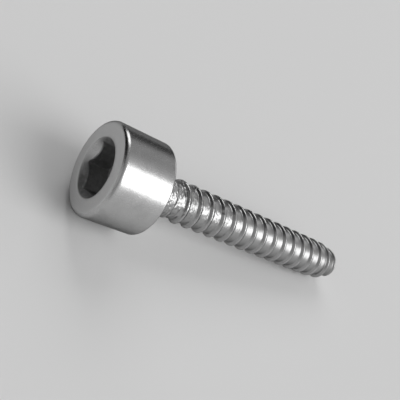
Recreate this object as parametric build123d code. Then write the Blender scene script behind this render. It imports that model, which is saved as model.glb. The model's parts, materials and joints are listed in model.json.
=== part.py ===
from build123d import *

import os
from math import atan2, ceil, cos, degrees, pi, radians, sin, tan

from numpy import interp

# A self-tapping socket cap screw: one piece of steel, with a forged head and a rolled thread.
#
# The screw is drawn upright in its own frame, with z = 0 at the crown of the head, +Z towards the tip and
# +X towards the side that it lies on. The last step lays it down as it comes to rest on a table: on the
# back rim of the head and on a crest near the tip, with the tip towards +X.
# The origin is then the centre of the footprint, on the table. Millimetres and degrees throughout.

# Head
head_diameter = 8.4
head_height = 5.1
front_edge_radius = 0.25
back_edge_chamfer = 0.15
neck_chamfer = 0.2  # between the bearing face and the neck

# Hexagon socket
key_size = 4.0
key_clearance = 0.2  # across the flats
socket_depth = 2.5  # from the crown to the end of the flats
mouth_diameter = 5.4  # of the chamfered mouth, at the crown
mouth_angle = 94.0  # included angle of that chamfer
drill_angle = 118.0  # included angle of the cone below the flats
drill_step = 0.05  # from the flats in to the rim of that cone
socket_turn = 48.7  # of one corner, from +X about the axis

# Shank: lengths and places along it are from under the head
shank_length = 25.0
neck_diameter = 3.6
neck_length = 2.1
neck_cone_length = 0.3  # down to the root of the thread
root_diameter = 3.45

# Thread: one right-hand ridge with straight flanks
pitch = 1.4
crest_diameter = 4.06
crest_width = 0.25
flank_angle = 60.0  # included
first_crest = 2.51  # where the ridge first crosses the side that the screw lies on
run_in_length = 1.0  # from the neck until the ridge has its full height

# Point
point_length = 3.0  # over which the crests get lower
point_crest_diameter = 3.5  # where the blunt last stretch starts
blunt_length = 0.9
core_taper_length = 2.4
tip_diameter = 2.5
tip_chamfer = 0.12
last_ridge_height = 0.02  # what is left of the ridge at the tip

seam_turn = 2.8  # of the turned surfaces' seam, from +X: the seam stays off the line that touches the table
points_per_turn = 16  # through which the thread's edge lines are drawn
hidden_turns = 2  # of the ridge, inside the neck, before it first shows
trim_margin = 1.0  # how far a trimming tool reaches past what it trims
buried = 0.05  # overlap that makes two solids one
same_place = 1e-4  # distance within which an edge counts as the one looked for

under_head = head_height
full_length = head_height + shank_length
neck_end = under_head + neck_length
thread_start = under_head + first_crest - hidden_turns * pitch
turns = ceil((full_length - thread_start) / pitch) + 1  # one more than the shank needs
thread_end = thread_start + (turns + 1) * pitch


def turned(points):
    """Solid of revolution about Z from (radius, height) corners that form a closed outline."""
    outline = make_face(Polyline(*points, close=True))
    return Rot(0, 0, seam_turn) * revolve(Plane.XZ * outline, Axis.Z)


def rim(solid, radius, height):
    """The circular edge of a turned solid with this radius and height."""

    def is_rim(edge):
        same_height = abs(edge.arc_center.Z - height) < same_place
        return same_height and abs(edge.radius - radius) < same_place

    return solid.edges().filter_by(GeomType.CIRCLE).filter_by(is_rim)


def head_and_neck():
    """Head, neck, and the cone from the neck down into the root of the thread."""
    head_radius = head_diameter / 2
    neck_radius = neck_diameter / 2
    inner_radius = root_diameter / 2 - buried
    cone_slope = (neck_diameter - root_diameter) / 2 / neck_cone_length
    cone_end = neck_end + (neck_radius - inner_radius) / cone_slope
    piece = turned(
        [
            (0, 0),
            (head_radius, 0),
            (head_radius, under_head - back_edge_chamfer),
            (head_radius - back_edge_chamfer, under_head),
            (neck_radius + neck_chamfer, under_head),
            (neck_radius, under_head + neck_chamfer),
            (neck_radius, neck_end),
            (inner_radius, cone_end),
            (0, cone_end),
        ]
    )
    return fillet(rim(piece, head_radius, 0), front_edge_radius)


def socket():
    """What the hexagon socket takes out of the head: flats, chamfered mouth and drill point."""
    flat_radius = (key_size + key_clearance) / 2
    hexagon = RegularPolygon(flat_radius, 6, major_radius=False, rotation=socket_turn)
    flats = extrude(hexagon, socket_depth)
    mouth_radius = mouth_diameter / 2
    mouth_depth = mouth_radius / tan(radians(mouth_angle / 2))
    mouth = turned([(0, 0), (mouth_radius, 0), (0, mouth_depth)])
    drill_radius = flat_radius - drill_step
    drill_start = socket_depth - buried
    drill_end = socket_depth + drill_radius / tan(radians(drill_angle / 2))
    side = [(drill_radius, drill_start), (drill_radius, socket_depth)]
    drill = turned([(0, drill_start), *side, (0, drill_end)])
    return flats + mouth + drill


def root_radius_at(z):
    """Radius of the thread's core: cylindrical, then tapered towards the tip."""
    root_radius = root_diameter / 2
    heights = [full_length - core_taper_length, full_length]
    return float(interp(z, heights, [root_radius, tip_diameter / 2]))


def crest_radius_at(z):
    """Radius of the ridge's flat top: under the neck's surface, then full, then lower at the point."""
    crest_radius = crest_diameter / 2
    heights = [neck_end, neck_end + run_in_length, full_length - point_length]
    heights += [full_length - blunt_length, full_length]
    radii = [neck_diameter / 2 - buried, crest_radius, crest_radius]
    radii += [point_crest_diameter / 2, tip_diameter / 2 + last_ridge_height]
    return float(interp(z, heights, radii))


def corner(line, turn):
    """Point after this many turns on one of the ridge's four edge lines: 0 root, 1 and 2 crest, 3 root."""
    middle = thread_start + pitch * turn
    top_radius = crest_radius_at(middle)
    ridge_height = max(0, top_radius - root_radius_at(middle))
    half_top = crest_width / 2
    half_base = half_top + ridge_height * tan(radians(flank_angle / 2))
    z = middle + (-half_base, -half_top, half_top, half_base)[line]
    radius = top_radius if line in (1, 2) else root_radius_at(z)
    return Vector(radius * cos(2 * pi * turn), radius * sin(2 * pi * turn), z)


def edge_line(line, turn):
    """One turn of one of the ridge's edge lines."""
    steps = range(points_per_turn + 1)
    return Edge.make_spline([corner(line, turn + step / points_per_turn) for step in steps])


def end_cap(line, turn, outline):
    """Faces that close one end of the thread: one turn of an edge line to the axis, and a flat step."""
    low = Vector(0, 0, corner(line, turn).Z)
    high = Vector(0, 0, corner(line, turn + 1).Z)
    winding = Face.make_surface_from_curves(edge_line(line, turn), Edge.make_line(low, high))
    step = Face(Wire.make_polygon([low, *outline, high], close=True))
    return [winding, step]


def thread():
    """Core and ridge as one closed solid, sewn from ruled faces one turn long.

    Each turn has a flank, the flat top, the other flank and the root up to the next turn's first line.
    """
    lines = [[edge_line(line, turn) for turn in range(turns)] for line in range(4)]
    faces = []
    for turn in range(turns):
        for line in range(3):
            faces.append(Face.make_surface_from_curves(lines[line][turn], lines[line + 1][turn]))
    for turn in range(turns - 1):
        faces.append(Face.make_surface_from_curves(lines[3][turn], lines[0][turn + 1]))
    faces += end_cap(0, 0, [corner(line, 0) for line in range(4)] + [corner(0, 1)])
    faces += end_cap(3, turns - 1, [corner(3, turns - 1)] + [corner(line, turns) for line in range(4)])
    return Solid(Shell(Face.sew_faces(faces)[0]))


def tip_tool():
    """What cuts the shank to length and chamfers its end."""
    end_radius = tip_diameter / 2 - tip_chamfer
    outer = crest_diameter / 2 + trim_margin
    start = full_length - (outer - end_radius)
    end = thread_end + trim_margin
    return turned([(0, full_length), (end_radius, full_length), (outer, start), (outer, end), (0, end)])


def upright_screw():
    """The whole screw in its own frame."""
    return head_and_neck() + thread() - tip_tool() - socket()


def rest_tilt():
    """Degrees below the level at which the first crest meets the table, with the head on its back rim."""
    rim_z = under_head - back_edge_chamfer
    tilts = []
    for turn in range(hidden_turns, turns):
        middle = thread_start + pitch * turn
        along = middle + crest_width / 2 - rim_z
        drop = head_diameter / 2 - crest_radius_at(middle)
        tilts.append(degrees(atan2(drop, along)))
    return min(tilts)


def laid_down(piece):
    """The screw at rest: turned over and lifted until head rim and lowest crest touch z = 0."""
    lying = Rot(0, 90 + rest_tilt(), 0) * piece
    box = lying.bounding_box()
    return Pos(-box.center().X, -box.center().Y, -box.min.Z) * lying


screw = upright_screw()
os.makedirs("parts", exist_ok=True)
export_step(laid_down(screw), "parts/screw.step")
print("screw:", round(screw.volume, 2), "mm3,", len(screw.solids()), "solid")
print("at rest the tip is", round(rest_tilt(), 3), "degrees below the level")
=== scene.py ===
# %% [markdown]
# # A self-tapping socket cap screw
#
# The real object is one piece of steel. Its head and its hexagon socket are forged in a die, and
# its coarse thread is rolled between two flat dies. We draw it the way a drawing office would:
# one outline carried round the axis, with a socket that depends on the direction, and a ridge
# that climbs as it turns. Everything is worked out with numpy as whole arrays, in millimetres, in
# the screw's own frame, and laid down on the table at the very end.

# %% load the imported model
import json
import math

import bpy
import bmesh
import numpy as np
from mathutils import Matrix, Vector


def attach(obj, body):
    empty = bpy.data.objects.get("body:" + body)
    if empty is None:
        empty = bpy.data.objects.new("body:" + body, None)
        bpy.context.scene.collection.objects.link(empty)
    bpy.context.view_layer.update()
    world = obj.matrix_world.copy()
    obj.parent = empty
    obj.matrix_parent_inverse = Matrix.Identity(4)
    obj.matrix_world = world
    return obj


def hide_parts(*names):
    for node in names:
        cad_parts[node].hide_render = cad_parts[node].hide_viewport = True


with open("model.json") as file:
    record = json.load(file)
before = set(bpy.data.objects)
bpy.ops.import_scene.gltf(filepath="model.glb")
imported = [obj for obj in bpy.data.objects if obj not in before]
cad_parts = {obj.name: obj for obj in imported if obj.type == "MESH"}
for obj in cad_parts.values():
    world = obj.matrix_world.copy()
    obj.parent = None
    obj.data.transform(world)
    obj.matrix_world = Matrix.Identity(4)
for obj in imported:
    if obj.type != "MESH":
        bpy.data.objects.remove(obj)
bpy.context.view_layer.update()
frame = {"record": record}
mounts = {mount["name"]: mount for mount in frame["record"]["mounts"]}

# %% [markdown]
# ## Sizes
#
# A part that has to fit a key and a hole is drawn from named sizes, never from numbers typed
# where they are used. Lengths are in millimetres, and heights count from the crown of the head
# towards the tip. A cone's angle is between its surface and the axis, and the thread's two flanks
# lean away from a plane across the axis. Each slope is the tangent of such an angle.

# %% sizes of the screw
HEAD_RADIUS = 4.2
HEAD_HEIGHT = 5.1
FRONT_EDGE = 0.42
BACK_EDGE = 0.22

FLAT_RADIUS = 2.1
SOCKET_DEPTH = 2.5
SOCKET_TURN = math.radians(48.7)
MOUTH_RADIUS = 2.7
MOUTH_SLOPE = math.tan(math.radians(47.0))
DRILL_RADIUS = 2.05
DRILL_SLOPE = math.tan(math.radians(59.0))

LENGTH = HEAD_HEIGHT + 25.0
NECK_RADIUS = 1.8
NECK_FILLET = 0.2
NECK_END = HEAD_HEIGHT + 2.1
NECK_CONE = 0.3

PITCH = 1.4
ROOT_RADIUS = 1.69
CREST_RADIUS = 1.96
CREST_HALF = 0.06
HEAD_FLANK = math.tan(math.radians(33.0))
TIP_FLANK = math.tan(math.radians(43.0))
FIRST_CREST = HEAD_HEIGHT + 2.68
RUN_IN = 1.0

POINT_LENGTH = 2.6
POINT_CREST_RADIUS = 1.75
BLUNT_LENGTH = 0.9
CORE_TAPER = 2.4
TIP_RADIUS = 1.25
TIP_CHAMFER = 0.12
print("length", LENGTH, "mm, of which the head takes", HEAD_HEIGHT)

# %% [markdown]
# ## Grids
#
# A surface with two parameters is a grid of points. Here one parameter is the azimuth round the
# axis and the other runs along the outline, so a whole grid is three arrays of one shape: radius,
# azimuth and height. All the grids share one row of azimuths, so that they meet point by point.

# %% grids and soft corners
SIDES = 6
COLUMNS_PER_FLAT = 20
EVEN_SHARE = 0.35


def azimuths():
    """Directions round the axis, in radians, from one corner of the hexagon round to itself.

    Each of the six sectors runs from -1 to 1 as a blend of an even ramp and its sine, which puts
    the columns closer together at the corners, where the surface bends most.
    """
    even = np.linspace(-1.0, 1.0, COLUMNS_PER_FLAT, endpoint=False)
    blended = EVEN_SHARE * even + (1.0 - EVEN_SHARE) * np.sin(even * np.pi / 2)
    middles = SOCKET_TURN + 2 * np.pi / SIDES * (np.arange(SIDES) + 0.5)
    ring = (middles[:, None] + np.pi / SIDES * blended[None, :]).ravel()
    return np.append(ring, ring[0] + 2 * np.pi)


def soft_max(a, b, width):
    """The larger of two values with the corner rounded: their mean plus half the softened gap."""
    return (a + b + np.sqrt((a - b) ** 2 + width**2)) / 2


def soft_min(a, b, width):
    """The smaller of two values, with the corner rounded."""
    return -soft_max(-a, -b, width)


def grid(radius, height, azimuth):
    """Points of a grid, as rows by columns by three, from arrays that broadcast to one shape."""
    radius, height, azimuth = np.broadcast_arrays(radius, height, azimuth)
    return np.stack([radius * np.cos(azimuth), radius * np.sin(azimuth), height], axis=-1)


def rows_at(*shares):
    """One share for each row of a grid, as a column that broadcasts against the azimuths."""
    return np.array(shares)[:, None]


AZIMUTH = azimuths()[None, :]
print("columns round the axis:", AZIMUTH.shape[1] - 1)

# %% [markdown]
# ## The socket
#
# A punch makes the socket, and its mouth is chamfered so that the key finds its way in. The
# chamfer is a cone that the six flats cut, which gives the scalloped edge that every socket screw
# has. A Boolean could cut both from a solid head, but it leaves long thin faces and a hard edge.
# Here the wall in each direction is simply the wider of the cone and the hexagon, and a soft
# maximum rounds the edge between them.

# %% the socket's surface
CORNER_POWER = 70.0
MOUTH_ROUNDING = 0.08


def hexagon_radius(azimuth):
    """Distance from the axis to the flats: one over the largest of six cosines, as a power mean.

    The power is high, but it still rounds the corners a little, as a worn punch does.
    """
    turns = SOCKET_TURN + 2 * np.pi / SIDES * (np.arange(SIDES) + 0.5)
    cosines = np.clip(np.cos(azimuth[..., None] - turns), 0.0, None)
    return FLAT_RADIUS / (cosines**CORNER_POWER).sum(axis=-1) ** (1 / CORNER_POWER)


def socket_grid():
    """From the bottom of the drill point up the flats and the chamfer to the mouth.

    The place of each row is a share of the way between the levels that the direction gives: the
    apex, the end of the flats, the line where the cone meets the flats, and the crown.
    """
    flats = hexagon_radius(AZIMUTH)
    meet = (MOUTH_RADIUS - flats) / MOUTH_SLOPE

    drill_radius = DRILL_RADIUS * rows_at(0.0, 0.15, 0.35, 0.6, 0.85, 1.0)
    drill_height = SOCKET_DEPTH + (DRILL_RADIUS - drill_radius) / DRILL_SLOPE
    ledge_radius = DRILL_RADIUS + (flats - DRILL_RADIUS) * rows_at(0.4, 0.85)
    wall_share = rows_at(0.0, 0.02, 0.2, 0.4, 0.6, 0.78, 0.9, 0.96)
    wall_height = SOCKET_DEPTH + (meet - SOCKET_DEPTH) * wall_share
    mouth_height = meet * (1 - rows_at(0.0, 0.06, 0.16, 0.35, 0.6, 0.85, 0.97))
    mouth_radius = soft_max(MOUTH_RADIUS - mouth_height * MOUTH_SLOPE, flats, MOUTH_ROUNDING)

    return np.concatenate([
        grid(drill_radius, drill_height, AZIMUTH),
        grid(ledge_radius, SOCKET_DEPTH, AZIMUTH),
        grid(flats, wall_height, AZIMUTH),
        grid(mouth_radius, mouth_height, AZIMUTH),
    ])


socket = socket_grid()
print("socket grid", socket.shape, "deepest", socket[..., 2].max())

# %% [markdown]
# ## The head
#
# A forged head comes out round, and its crown and edges are turned afterwards. So it is an
# outline of radius against height, carried round the axis. The Spin tool would do the same by
# hand, but as an array the outline keeps the socket's columns and so closes against it. Rounded
# edges are quarter circles with a few steps each, because a true rounding catches the light and a
# sharp one doesn't. A row of points close behind each rounding keeps the face next to it flat
# when the shading is smoothed.

# %% the head's surface
# The lip is the small bevel where the mouth meets the crown. Margins and holds are distances from
# a rounding to the next row of points.
LIP_HEIGHT = 0.02
LIP_WIDTH = 0.03
CROWN_MARGIN = 0.25
CROWN_HOLD = 0.05
SIDE_HOLD = 0.08
BEARING_MARGIN = 0.3


def run(radius, height):
    """Points of a straight run of the outline, from lists or numbers that broadcast."""
    return np.stack(np.broadcast_arrays(radius, height), axis=-1)


def quarter(radius, height, size, start, steps):
    """Points of a quarter circle round (radius, height), from a start angle in degrees."""
    angle = np.radians(start + np.linspace(0.0, 90.0, steps))
    return np.stack([radius + size * np.cos(angle), height + size * np.sin(angle)], axis=-1)


def head_outline():
    """Radius and height from the mouth out over the crown, down the side and in to the neck."""
    front_radius = HEAD_RADIUS - FRONT_EDGE
    back_height = HEAD_HEIGHT - BACK_EDGE
    crown_radii = np.linspace(MOUTH_RADIUS + CROWN_MARGIN, front_radius - CROWN_HOLD, 5)
    side_heights = np.linspace(FRONT_EDGE + SIDE_HOLD, back_height - SIDE_HOLD, 8)
    bearing_radii = np.linspace(HEAD_RADIUS - BEARING_MARGIN, NECK_RADIUS + BEARING_MARGIN, 5)

    mouth = run([MOUTH_RADIUS, MOUTH_RADIUS + LIP_WIDTH], [LIP_HEIGHT, 0.0])
    crown = run(crown_radii, 0.0)
    front = quarter(front_radius, FRONT_EDGE, FRONT_EDGE, start=-90.0, steps=7)
    side = run(HEAD_RADIUS, side_heights)
    back = quarter(HEAD_RADIUS - BACK_EDGE, back_height, BACK_EDGE, start=0.0, steps=6)
    bearing = run(bearing_radii, HEAD_HEIGHT)
    fillet_radius = NECK_RADIUS + NECK_FILLET
    fillet_height = HEAD_HEIGHT + NECK_FILLET
    neck = quarter(fillet_radius, fillet_height, NECK_FILLET, start=-90.0, steps=6)
    neck[:, 0] = 2 * fillet_radius - neck[:, 0]
    return np.concatenate([mouth, crown, front, side, back, bearing, neck])


outline = head_outline()
head = grid(outline[:, :1], outline[:, 1:], AZIMUTH)
print("head grid", head.shape)

# %% [markdown]
# ## The thread
#
# A screw thread is a ridge on a core. The Screw modifier can wind one from a profile, but its
# start at the neck and its end at the point would then have to be cut and patched. As a function
# of height and azimuth both come from two ramps. What counts at each place is how far we are
# along the axis from the middle of the nearest turn of the ridge. Near the middle we are on the
# flat crest, a little further on we slide down a flank, and then we are on the core.
#
# The rows of the grid climb with the ridge, one pitch each time round, so each row follows a
# crest, a flank or the root and never cuts across. Short of the end of the neck's fillet and past
# the tip, the rows are held back on a ring, and the doubled points are merged later.

# %% radii along the axis
CREST_START = NECK_RADIUS - 0.05
CREST_END = TIP_RADIUS + 0.02


def core_radius(height):
    """The neck, a short cone down to the root of the thread, the root, and the tip's taper."""
    places = [NECK_END, NECK_END + NECK_CONE, LENGTH - CORE_TAPER, LENGTH]
    return np.interp(height, places, [NECK_RADIUS, ROOT_RADIUS, ROOT_RADIUS, TIP_RADIUS])


def crest_radius(height):
    """Under the neck's surface at first, full for most of the length, and lower at the point."""
    places = [NECK_END, NECK_END + RUN_IN, LENGTH - POINT_LENGTH, LENGTH - BLUNT_LENGTH, LENGTH]
    radii = [CREST_START, CREST_RADIUS, CREST_RADIUS, POINT_CREST_RADIUS, CREST_END]
    return np.interp(height, places, radii)


middle_of_shank = (HEAD_HEIGHT + LENGTH) / 2
print("thread height", crest_radius(middle_of_shank) - core_radius(middle_of_shank))

# %% the thread's surface
ROWS_PER_TURN = 34
# The climbing rows start before the neck and end past the tip, so that they cover every column.
TURNS_BEFORE = 2
SPARE_TURNS = 3
# Halfway between two turns the rounding could go either way, and the grid's first and last
# columns have to choose the same turn to meet without a gap. This small shift, in turns, decides
# it.
HALFWAY_SHIFT = 1e-6
CREST_ROUNDING = 0.03
ROOT_ROUNDING = 0.05
TIP_ROUNDING = 0.02


def thread_grid():
    """Rows climb one pitch a turn; the radius falls from crest to core away from the ridge."""
    start = HEAD_HEIGHT + NECK_FILLET
    turns = int(np.ceil((LENGTH - start) / PITCH)) + SPARE_TURNS
    row = np.arange(turns * ROWS_PER_TURN + 1)[:, None] / ROWS_PER_TURN
    first = np.floor((start - FIRST_CREST) / PITCH) - TURNS_BEFORE
    place = FIRST_CREST + PITCH * (first + row + AZIMUTH / (2 * np.pi))
    height = np.clip(place, start, LENGTH)

    turn = (height - FIRST_CREST) / PITCH - AZIMUTH / (2 * np.pi)
    middle = height - PITCH * (turn - np.round(turn - HALFWAY_SHIFT))
    crest = crest_radius(middle)
    slope = np.where(height < middle, HEAD_FLANK, TIP_FLANK)
    flank = crest - (np.abs(height - middle) - CREST_HALF) / slope
    ridge = soft_min(crest, flank, CREST_ROUNDING)
    radius = soft_max(core_radius(height), ridge, ROOT_ROUNDING)

    chamfer = TIP_RADIUS - TIP_CHAMFER + (LENGTH - height)
    radius = soft_min(radius, chamfer, TIP_ROUNDING)
    radius = np.where(height <= start, NECK_RADIUS, radius)
    return grid(radius, height, AZIMUTH)


thread = thread_grid()
print("thread grid", thread.shape, "widest", np.hypot(thread[..., 0], thread[..., 1]).max())

# %% the flat end
tip_ring = np.hypot(thread[-1, :, 0], thread[-1, :, 1])[None, :]
tip = grid(tip_ring * rows_at(1.0, 0.93, 0.6, 0.3, 0.0), LENGTH, AZIMUTH)
print("tip grid", tip.shape)

# %% [markdown]
# ## One skin
#
# The four grids follow each other from the bottom of the socket to the middle of the tip, and all
# have the same columns. Put one below the other, they are one long grid, whose cells are the
# faces.

# %% points and faces
SOCKET, HEAD, THREAD, TIP = range(4)
sheets = [socket, head, thread, tip]
points = np.concatenate([sheet.reshape(-1, 3) for sheet in sheets])
sheet_number = np.repeat([SOCKET, HEAD, THREAD, TIP], [sheet[..., 0].size for sheet in sheets])


def surface_faces(rows, columns):
    """Four corner numbers for each cell of a grid, in the order that turns faces outwards."""
    corner = np.arange((rows - 1) * columns).reshape(rows - 1, columns)[:, :-1].ravel()
    return np.stack([corner, corner + 1, corner + columns + 1, corner + columns], axis=-1)


faces = surface_faces(sum(sheet.shape[0] for sheet in sheets), AZIMUTH.shape[1])
print("points", len(points), "cells", len(faces))

# %% [markdown]
# ## Laying the screw down
#
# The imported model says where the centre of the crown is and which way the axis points. The
# screw's own x runs to the side that it lies on, so it points down and slightly back, and y stays
# across. We could turn the object instead, but its patterns read the object's own coordinates and
# would turn with it. So the points themselves are moved, and the object stays at the origin.

# %% from the screw's frame to the table
METRES_PER_MM = 0.001
crown_mount = mounts["key_socket"]
axis = -np.array(crown_mount["axis"])
axis /= np.linalg.norm(axis)
below = np.array([axis[2], 0.0, -axis[0]])
across = np.array([0.0, 1.0, 0.0])


def laid_down(points):
    """Own millimetres to the shared frame's metres: three axes, scaled and added up."""
    turned = points @ np.stack([below, across, axis])
    return turned * METRES_PER_MM + np.array(crown_mount["pos_m"])


placed = laid_down(points)
print("axis", axis, "lowest point", placed[:, 2].min())

# %% [markdown]
# ## Where each finish, painted light and painted shade goes
#
# A finish needs to know where it is, and so do painted light and painted shade. Painted shade
# darkens the socket, less on one side of its mouth, the corner under the head and the thread's
# root. The crown and the drilled bottom of the socket are painted lighter and made rougher, and
# the first turns are roughest because the dies bite there. A brush could paint these places by
# hand, but the places follow from the shape. So each is a value between 0 and 1 at every point,
# worked out from where the point is, and stored in the mesh under a name.

# %% four masks
# A ramp is a list of places in millimetres and a list of the values there.
# The first two ramps are painted shade: in the socket by depth, and under the head at the neck.
SHADE_BY_DEPTH = ([0.0, 0.1, 0.6, 1.0, 2.45, 2.5], [0.0, 0.9, 1.0, 0.8, 0.75, 0.1])
SHADE_UNDER_HEAD = ([HEAD_HEIGHT - 0.01, HEAD_HEIGHT], [0.0, 0.5])
CROWN_BY_DEPTH = ([0.0, 0.05], [1.0, 0.0])
DRILLED_BY_DEPTH = ([2.45, 2.5], [0.0, 1.0])
STRUCK_BY_DISTANCE = ([0.0, 0.6, 5.0, 12.0], [0.4, 1.0, 0.6, 0.1])

# On one side most of the painted shade is taken off the mouth's chamfer, down to a depth. The
# side and its half width are in degrees.
LESS_SHADE_SIDE = 78.0
LESS_SHADE_HALF = 27.0
LESS_SHADE_DEPTH = 0.65
LESS_SHADE_SHARE = 0.9
STRUCK_IN_SOCKET = 0.3
ROOT_SPREAD = 0.7


def masks(points, sheet_number):
    """Values from 0 to 1 for each point, by name: ramps over its height, azimuth and radius.

    The side with less painted shade falls off as the exponential of minus the fourth power of
    the angle from its middle, which is flat in the middle and steep at the ends.
    """
    radius = np.hypot(points[:, 0], points[:, 1])
    height = points[:, 2]
    azimuth = np.degrees(np.arctan2(points[:, 1], points[:, 0]))
    in_socket = sheet_number == SOCKET
    on_head = sheet_number == HEAD
    threaded = sheet_number >= THREAD

    # Painted shade in the socket by depth, with less of it on one side of the mouth, and painted
    # shade under the head.
    shade_lifted = np.exp(-(((azimuth - LESS_SHADE_SIDE) / LESS_SHADE_HALF) ** 4))
    deep = np.interp(height, *SHADE_BY_DEPTH)
    walls = np.where(height < LESS_SHADE_DEPTH, deep * (1 - LESS_SHADE_SHARE * shade_lifted), deep)
    hollow = np.where(in_socket, walls, np.interp(height, *SHADE_UNDER_HEAD) * on_head)

    # The crown and the socket's drilled bottom are painted lighter; the same mask makes them
    # rougher.
    crown = np.interp(height, *CROWN_BY_DEPTH) * on_head
    crown += np.interp(height, *DRILLED_BY_DEPTH) * in_socket

    # The thread's root is painted darker, as painted shade; the same mask makes it rougher.
    climb = np.clip((radius - ROOT_RADIUS) / (CREST_RADIUS - ROOT_RADIUS), 0, 1)
    root = (1 - climb) ** ROOT_SPREAD * threaded

    first_turns = np.interp(height - HEAD_HEIGHT, *STRUCK_BY_DISTANCE) * threaded
    struck = np.where(in_socket, STRUCK_IN_SOCKET * walls, first_turns)
    return {"hollow": hollow, "crown": crown, "root": root, "struck": struck}


finishes = masks(points, sheet_number)
for name, values in finishes.items():
    print("mask", name, "mean", round(float(values.mean()), 3))

# %% [markdown]
# ## One closed mesh
#
# The grid's first and last columns lie on each other, and so do the rows that meet at a pole or
# are held back on a ring. The masks go in first, so that they follow their points.

# %% the screw
MERGE_DISTANCE = 4e-7

mesh = bpy.data.meshes.new("screw_steel")
mesh.from_pydata(placed.tolist(), [], faces.tolist())
for name, values in finishes.items():
    attribute = mesh.attributes.new(name, "FLOAT", "POINT")
    attribute.data.foreach_set("value", values.astype(np.float32))

bm = bmesh.new()
bm.from_mesh(mesh)
bmesh.ops.remove_doubles(bm, verts=bm.verts, dist=MERGE_DISTANCE)
bmesh.ops.recalc_face_normals(bm, faces=bm.faces)
open_edges = sum(len(edge.link_faces) != 2 for edge in bm.edges)
print("volume mm3", bm.calc_volume(signed=True) * 1e9, "open edges", open_edges)
bm.to_mesh(mesh)
bm.free()
mesh.shade_smooth()

screw = bpy.data.objects.new("screw_steel", mesh)
bpy.context.collection.objects.link(screw)
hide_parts("screw")
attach(screw, "root")
print("faces", len(mesh.polygons))

# %% [markdown]
# ## Steel
#
# The screw is plain steel with a satin surface: die marks and tumbling leave a fine grain.
# Painted shade darkens the hollows and the thread's root, and the crown is painted lighter. One
# material could hold all its nodes in a heap. Instead each effect is a node group with its own
# inputs, so that it can be read by itself and placed in any material with other values.

# %% node group helpers
def new_group(name, inputs, outputs):
    """An empty shader group with named sockets.

    Inputs are (name, kind, default) and outputs are (name, kind).
    """
    group = bpy.data.node_groups.new(name, "ShaderNodeTree")
    for label, kind, default in inputs:
        given = group.interface.new_socket(name=label, in_out="INPUT", socket_type=kind)
        given.default_value = default
    for label, kind in outputs:
        group.interface.new_socket(name=label, in_out="OUTPUT", socket_type=kind)
    return group, group.nodes.new("NodeGroupInput"), group.nodes.new("NodeGroupOutput")


def fill(tree, slot, value):
    """Link a socket to an input, or set the input to a number."""
    if isinstance(value, bpy.types.NodeSocket):
        tree.links.new(value, slot)
    else:
        slot.default_value = value


def math_node(tree, operation, *values):
    """A Math node whose inputs are sockets or numbers; gives back its output."""
    node = tree.nodes.new("ShaderNodeMath")
    node.operation = operation
    for slot, value in zip(node.inputs, values):
        fill(tree, slot, value)
    return node.outputs[0]


def noise(tree, vector, scale, detail):
    """A Noise Texture on a vector, with a scale that may be a socket; gives back its value."""
    node = tree.nodes.new("ShaderNodeTexNoise")
    node.inputs["Detail"].default_value = detail
    tree.links.new(vector, node.inputs["Vector"])
    tree.links.new(scale, node.inputs["Scale"])
    return node.outputs[0]


# %% [markdown]
# ### Fine grain
#
# Tumbling in a drum with other screws leaves small pits everywhere and broader, cloudy patches.
# Two noises of one pattern give both: the fine one for roughness and height, the broad one for
# colour.

# %% fine grain of a tumbled surface
BROAD_SCALE = 0.12

grain_group, given, result = new_group(
    "fine_grain",
    [("Vector", "NodeSocketVector", (0, 0, 0)), ("Scale", "NodeSocketFloat", 9000.0)],
    [("Fine", "NodeSocketFloat"), ("Broad", "NodeSocketFloat")],
)
vector, scale = given.outputs["Vector"], given.outputs["Scale"]
broad_scale = math_node(grain_group, "MULTIPLY", scale, BROAD_SCALE)
fine = noise(grain_group, vector, scale, detail=3.0)
broad = noise(grain_group, vector, broad_scale, detail=2.0)
grain_group.links.new(fine, result.inputs["Fine"])
grain_group.links.new(broad, result.inputs["Broad"])
print("group", grain_group.name)

# %% [markdown]
# ### Painted shade in hollows
#
# Painted shade darkens the hollows, in patches. The group takes the place from a mask and breaks
# it up: noise less its mean, times a patchiness, plus one, times the mask.

# %% painted shade in hollows
hollow_shade_group, given, result = new_group(
    "hollow_painted_shade",
    [
        ("Vector", "NodeSocketVector", (0, 0, 0)),
        ("Place", "NodeSocketFloat", 0.0),
        ("Scale", "NodeSocketFloat", 2500.0),
        ("Patchiness", "NodeSocketFloat", 0.9),
    ],
    [("Amount", "NodeSocketFloat")],
)
patches = noise(hollow_shade_group, given.outputs["Vector"], given.outputs["Scale"], detail=3.0)
shift = math_node(hollow_shade_group, "SUBTRACT", patches, 0.5)
swing = math_node(hollow_shade_group, "MULTIPLY_ADD", shift, given.outputs["Patchiness"], 1.0)
amount = math_node(hollow_shade_group, "MULTIPLY", swing, given.outputs["Place"])
amount.node.use_clamp = True
hollow_shade_group.links.new(amount, result.inputs["Amount"])
print("group", hollow_shade_group.name)

# %% [markdown]
# ### Die marks
#
# The rolling dies bite first next to the neck and leave dents there, a little longer round the
# screw than along it. They are too shallow and too many to model one by one, so they are a height
# for the Bump node: a soft noise, squeezed along the screw, times the mask.

# %% dents left by the dies
marks_group, given, result = new_group(
    "die_marks",
    [
        ("Vector", "NodeSocketVector", (0, 0, 0)),
        ("Place", "NodeSocketFloat", 0.0),
        ("Scale", "NodeSocketFloat", 2600.0),
        ("Stretch", "NodeSocketVector", (1.6, 0.8, 0.8)),
    ],
    [("Height", "NodeSocketFloat")],
)
squeezed = marks_group.nodes.new("ShaderNodeVectorMath")
squeezed.operation = "MULTIPLY"
marks_group.links.new(given.outputs["Vector"], squeezed.inputs[0])
marks_group.links.new(given.outputs["Stretch"], squeezed.inputs[1])
dents = noise(marks_group, squeezed.outputs["Vector"], given.outputs["Scale"], detail=1.0)
dent_height = math_node(marks_group, "MULTIPLY", dents, given.outputs["Place"])
marks_group.links.new(dent_height, result.inputs["Height"])
print("group", marks_group.name)

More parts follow.
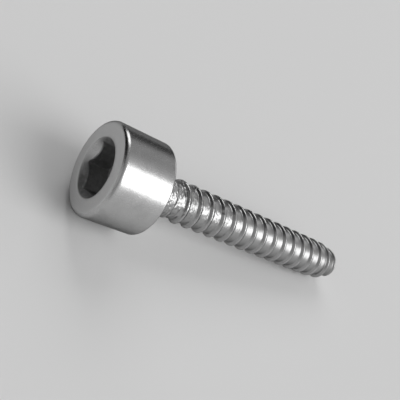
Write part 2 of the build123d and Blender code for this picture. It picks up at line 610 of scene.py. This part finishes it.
# %% [markdown]
# ### The steel itself
#
# Bare steel mirrors the room, so its colour is only a grey, and most of its character is in the
# roughness. The colour starts from the clean metal and is blended step by step with a crown
# painted lighter, the thread's root painted darker as shade, and the painted shade in the
# hollows.
# The roughness is a plain sum, with one share for each finish, and all the small relief goes
# through one Bump node.

# %% the material and its masks
SPECULAR_TINT = 0.25

steel = bpy.data.materials.new("satin_steel")
steel.use_nodes = True
tree = steel.node_tree
shader = tree.nodes["Principled BSDF"]
shader.inputs["Metallic"].default_value = 1.0
shader.inputs["Specular Tint"].default_value = (SPECULAR_TINT, SPECULAR_TINT, SPECULAR_TINT, 1)
coordinates = tree.nodes.new("ShaderNodeTexCoord")


def stored(name):
    """The value of a mask that the mesh holds."""
    node = tree.nodes.new("ShaderNodeAttribute")
    node.attribute_name = name
    return node.outputs["Fac"]


def effect(group, place=None):
    """A node group placed in the steel, fed with the piece's own coordinates and maybe a mask."""
    node = tree.nodes.new("ShaderNodeGroup")
    node.node_tree = group
    tree.links.new(coordinates.outputs["Object"], node.inputs["Vector"])
    if place:
        tree.links.new(stored(place), node.inputs["Place"])
    return node


grain = effect(grain_group)
hollow_shade = effect(hollow_shade_group, "hollow")
marks = effect(marks_group, "struck")
print("effects", [node.node_tree.name for node in (grain, hollow_shade, marks)])

# %% colour
CLEAN_DARK = 0.42
CLEAN_LIGHT = 0.56
# This grey is painted light: it makes the crown and the socket's drilled bottom lighter.
CROWN_PAINTED_LIGHT_GREY = 0.64
# This grey is painted shade in the thread's root.
ROOT_SHADE_GREY = 0.39
# This grey is painted shade in the hollows.
HOLLOW_SHADE_GREY = 0.21


def grey(value):
    """A number as an opaque grey; a socket is left as it is."""
    return value if isinstance(value, bpy.types.NodeSocket) else (value, value, value, 1)


def blend(factor, low, high):
    """A mix of two greys or colours by a factor."""
    node = tree.nodes.new("ShaderNodeMix")
    node.data_type = "RGBA"
    tree.links.new(factor, node.inputs["Factor"])
    fill(tree, node.inputs["A"], grey(low))
    fill(tree, node.inputs["B"], grey(high))
    return node.outputs["Result"]


clean = blend(grain.outputs["Broad"], CLEAN_DARK, CLEAN_LIGHT)
# The crown and the socket's drilled bottom painted lighter.
turned = blend(stored("crown"), clean, CROWN_PAINTED_LIGHT_GREY)
# The thread's root painted darker, as painted shade.
root_shaded = blend(stored("root"), turned, ROOT_SHADE_GREY)
# Painted shade in the hollows.
hollow_shaded = blend(hollow_shade.outputs["Amount"], root_shaded, HOLLOW_SHADE_GREY)
tree.links.new(hollow_shaded, shader.inputs["Base Color"])
print("greys", CLEAN_DARK, CLEAN_LIGHT, CROWN_PAINTED_LIGHT_GREY, ROOT_SHADE_GREY, HOLLOW_SHADE_GREY)

# %% roughness
SMOOTHEST = 0.19
GRAIN_ROUGHNESS = 0.13
TURNED_ROUGHNESS = 0.22
ROLLED_ROUGHNESS = 0.08
HOLLOW_ROUGHNESS = 0.3

roughness = math_node(tree, "MULTIPLY_ADD", grain.outputs["Fine"], GRAIN_ROUGHNESS, SMOOTHEST)
for value, share in (
    (stored("crown"), TURNED_ROUGHNESS),
    (stored("root"), ROLLED_ROUGHNESS),
    (hollow_shade.outputs["Amount"], HOLLOW_ROUGHNESS),
):
    roughness = math_node(tree, "MULTIPLY_ADD", value, share, roughness)
tree.links.new(roughness, shader.inputs["Roughness"])
print("smoothest", SMOOTHEST)

# %% relief
DENT_RELIEF = 1.7
GRAIN_RELIEF = 0.04
RELIEF_METRES = 0.0001

fine_relief = math_node(tree, "MULTIPLY", grain.outputs["Fine"], GRAIN_RELIEF)
relief = math_node(tree, "MULTIPLY_ADD", marks.outputs["Height"], DENT_RELIEF, fine_relief)
bump = tree.nodes.new("ShaderNodeBump")
bump.inputs["Strength"].default_value = 1.0
bump.inputs["Distance"].default_value = RELIEF_METRES
tree.links.new(relief, bump.inputs["Height"])
tree.links.new(bump.outputs["Normal"], shader.inputs["Normal"])
mesh.materials.append(steel)
print("material", steel.name)

# %% [markdown]
# ## Table, light and camera
#
# A pale table, a grey room with two pale walls, and two soft boxes. The table is the whole
# background, so its own colour sets the picture's tone and the lamps stay gentle. Metal shows
# what stands round it, so the room matters as much as the lamps: its dark side draws the dark
# lines along the top and the rim of the head, and the pale walls soften them.

# %% table
TABLE_REACH = 1.2
TABLE_GREY = 0.71
TABLE_ROUGHNESS = 0.9

corners = [
    (x * TABLE_REACH, y * TABLE_REACH, 0.0) for x, y in ((-1, -1), (1, -1), (1, 1), (-1, 1))
]
table_mesh = bpy.data.meshes.new("table_top")
table_mesh.from_pydata(corners, [], [(0, 1, 2, 3)])
table = bpy.data.objects.new("table_top", table_mesh)
bpy.context.collection.objects.link(table)
paper = bpy.data.materials.new("pale_paper")
paper.use_nodes = True
paper_shader = paper.node_tree.nodes["Principled BSDF"]
paper_shader.inputs["Base Color"].default_value = (TABLE_GREY, TABLE_GREY, TABLE_GREY, 1)
paper_shader.inputs["Roughness"].default_value = TABLE_ROUGHNESS
table_mesh.materials.append(paper)
print("table", 2 * TABLE_REACH, "m wide")

# %% [markdown]
# ### The room
#
# A picture of a real room is the usual way to light metal, but a few ramps do as well here and
# can be set one by one. Each ramp says how light the room is by how near a direction is to one
# side of it.

# %% the room
# For each side: its azimuth and height in degrees, and stops of (nearness, grey).
ROOM = (
    -50.0,
    25.7,
    [(0.40, 0.0), (0.465, 0.06), (0.51, 0.30), (0.60, 0.36), (0.70, 0.33), (1.0, 0.75)],
)
NEAR_WALL = (-172.0, 14.0, [(0.94, 0.0), (0.975, 0.45), (1.0, 0.5)])
FAR_WALL = (30.0, 18.0, [(0.984, 0.0), (0.992, 1.0), (1.0, 1.1)])


def direction(azimuth, height):
    """A unit vector from an azimuth and a height above the horizon, both in degrees."""
    azimuth, height = math.radians(azimuth), math.radians(height)
    flat = math.cos(height)
    return flat * math.cos(azimuth), flat * math.sin(azimuth), math.sin(height)


def glow(tree, azimuth, height, stops):
    """A grey that depends on how near a direction is to one side of the room.

    The nearness is half the dot product of the two directions, plus a half, from 0 to 1.
    """
    looking = tree.nodes.new("ShaderNodeTexCoord")
    towards = tree.nodes.new("ShaderNodeVectorMath")
    towards.operation = "DOT_PRODUCT"
    towards.inputs[1].default_value = direction(azimuth, height)
    tree.links.new(looking.outputs["Generated"], towards.inputs[0])
    nearness = math_node(tree, "MULTIPLY_ADD", towards.outputs["Value"], 0.5, 0.5)

    node = tree.nodes.new("ShaderNodeValToRGB")
    ramp = node.color_ramp
    ramp.elements[0].position = stops[0][0]
    ramp.elements[1].position = stops[-1][0]
    for place, _ in stops[1:-1]:
        ramp.elements.new(place)
    for element, (_, value) in zip(ramp.elements, stops):
        element.color = (value, value, value, 1)
    tree.links.new(nearness, node.inputs["Fac"])
    return node.outputs["Color"]


world = bpy.data.worlds.new("studio_room")
world.use_nodes = True
background = world.node_tree.nodes["Background"]
background.inputs["Strength"].default_value = 1.0
light = glow(world.node_tree, *ROOM)
for wall in (NEAR_WALL, FAR_WALL):
    light = math_node(world.node_tree, "ADD", light, glow(world.node_tree, *wall))
world.node_tree.links.new(light, background.inputs["Color"])
bpy.context.scene.world = world
print("world", world.name)

# %% [markdown]
# ### The lamps
#
# A soft box is a wide, even lamp, and a cylinder of metal shows it as one long bright band with
# soft edges. One lamp stands to the side and draws the band along the head and the thread. The
# other stands behind and draws the glint on the crown's rim. Both are given by the angles that
# the screw sees, so that moving a lamp away wouldn't change its reflection.

# %% two soft boxes
LAMP_DISTANCE = 3.0


def soft_box(name, azimuth, height, spread, turn, brightness):
    """A rectangular lamp that faces the screw from an azimuth and a height, both in degrees.

    Its sides span the two angles of spread as the screw sees them, and turn rolls it about its
    own axis. An area lamp of P watts and A square metres has a brightness of P / (pi A).
    """
    wide, high = (2 * LAMP_DISTANCE * math.tan(math.radians(angle) / 2) for angle in spread)
    data = bpy.data.lights.new(name, "AREA")
    data.shape = "RECTANGLE"
    data.size, data.size_y = wide, high
    data.energy = brightness * math.pi * data.size * data.size_y
    lamp = bpy.data.objects.new(name, data)
    bpy.context.collection.objects.link(lamp)
    away = Vector(direction(azimuth, height))
    place = Matrix.Translation(away * LAMP_DISTANCE)
    aim = (-away).to_track_quat("-Z", "Y").to_matrix().to_4x4()
    lamp.matrix_world = place @ aim @ Matrix.Rotation(math.radians(turn), 4, "Z")
    print(name, round(data.energy, 1), "W")


soft_box("side_box", azimuth=-40.0, height=41.0, spread=(35.0, 45.0), turn=25.0, brightness=3.0)
soft_box("back_box", azimuth=86.0, height=40.0, spread=(34.0, 36.0), turn=0.0, brightness=2.4)

# %% [markdown]
# ### The camera
#
# It looks down on the head from in front and from one side, close enough for the head to look
# large beside the tip. Its place and two of its directions are given, and the third is square to
# both.

# %% camera
# The sensor and the lens are in millimetres, and the rest is in metres.
SENSOR_WIDTH = 36.0
LENS = 55.96
NEAREST = 0.001
eye = Vector((-0.034114, -0.0315471, 0.0395705))
look = Vector((0.5336799, 0.5699673, -0.6247584))
top = Vector((-0.2731452, 0.8153368, 0.5105086))

camera_data = bpy.data.cameras.new("camera")
camera_data.sensor_width = SENSOR_WIDTH
camera_data.lens = LENS
camera_data.clip_start = NEAREST
camera = bpy.data.objects.new("camera", camera_data)
bpy.context.collection.objects.link(camera)
turned_to = Matrix((look.cross(top), top, -look)).transposed().to_4x4()
camera.matrix_world = Matrix.Translation(eye) @ turned_to
bpy.context.scene.camera = camera
bpy.context.scene.view_settings.view_transform = "Standard"
print("camera", round(eye.length * 1000, 1), "mm from the middle of the table")
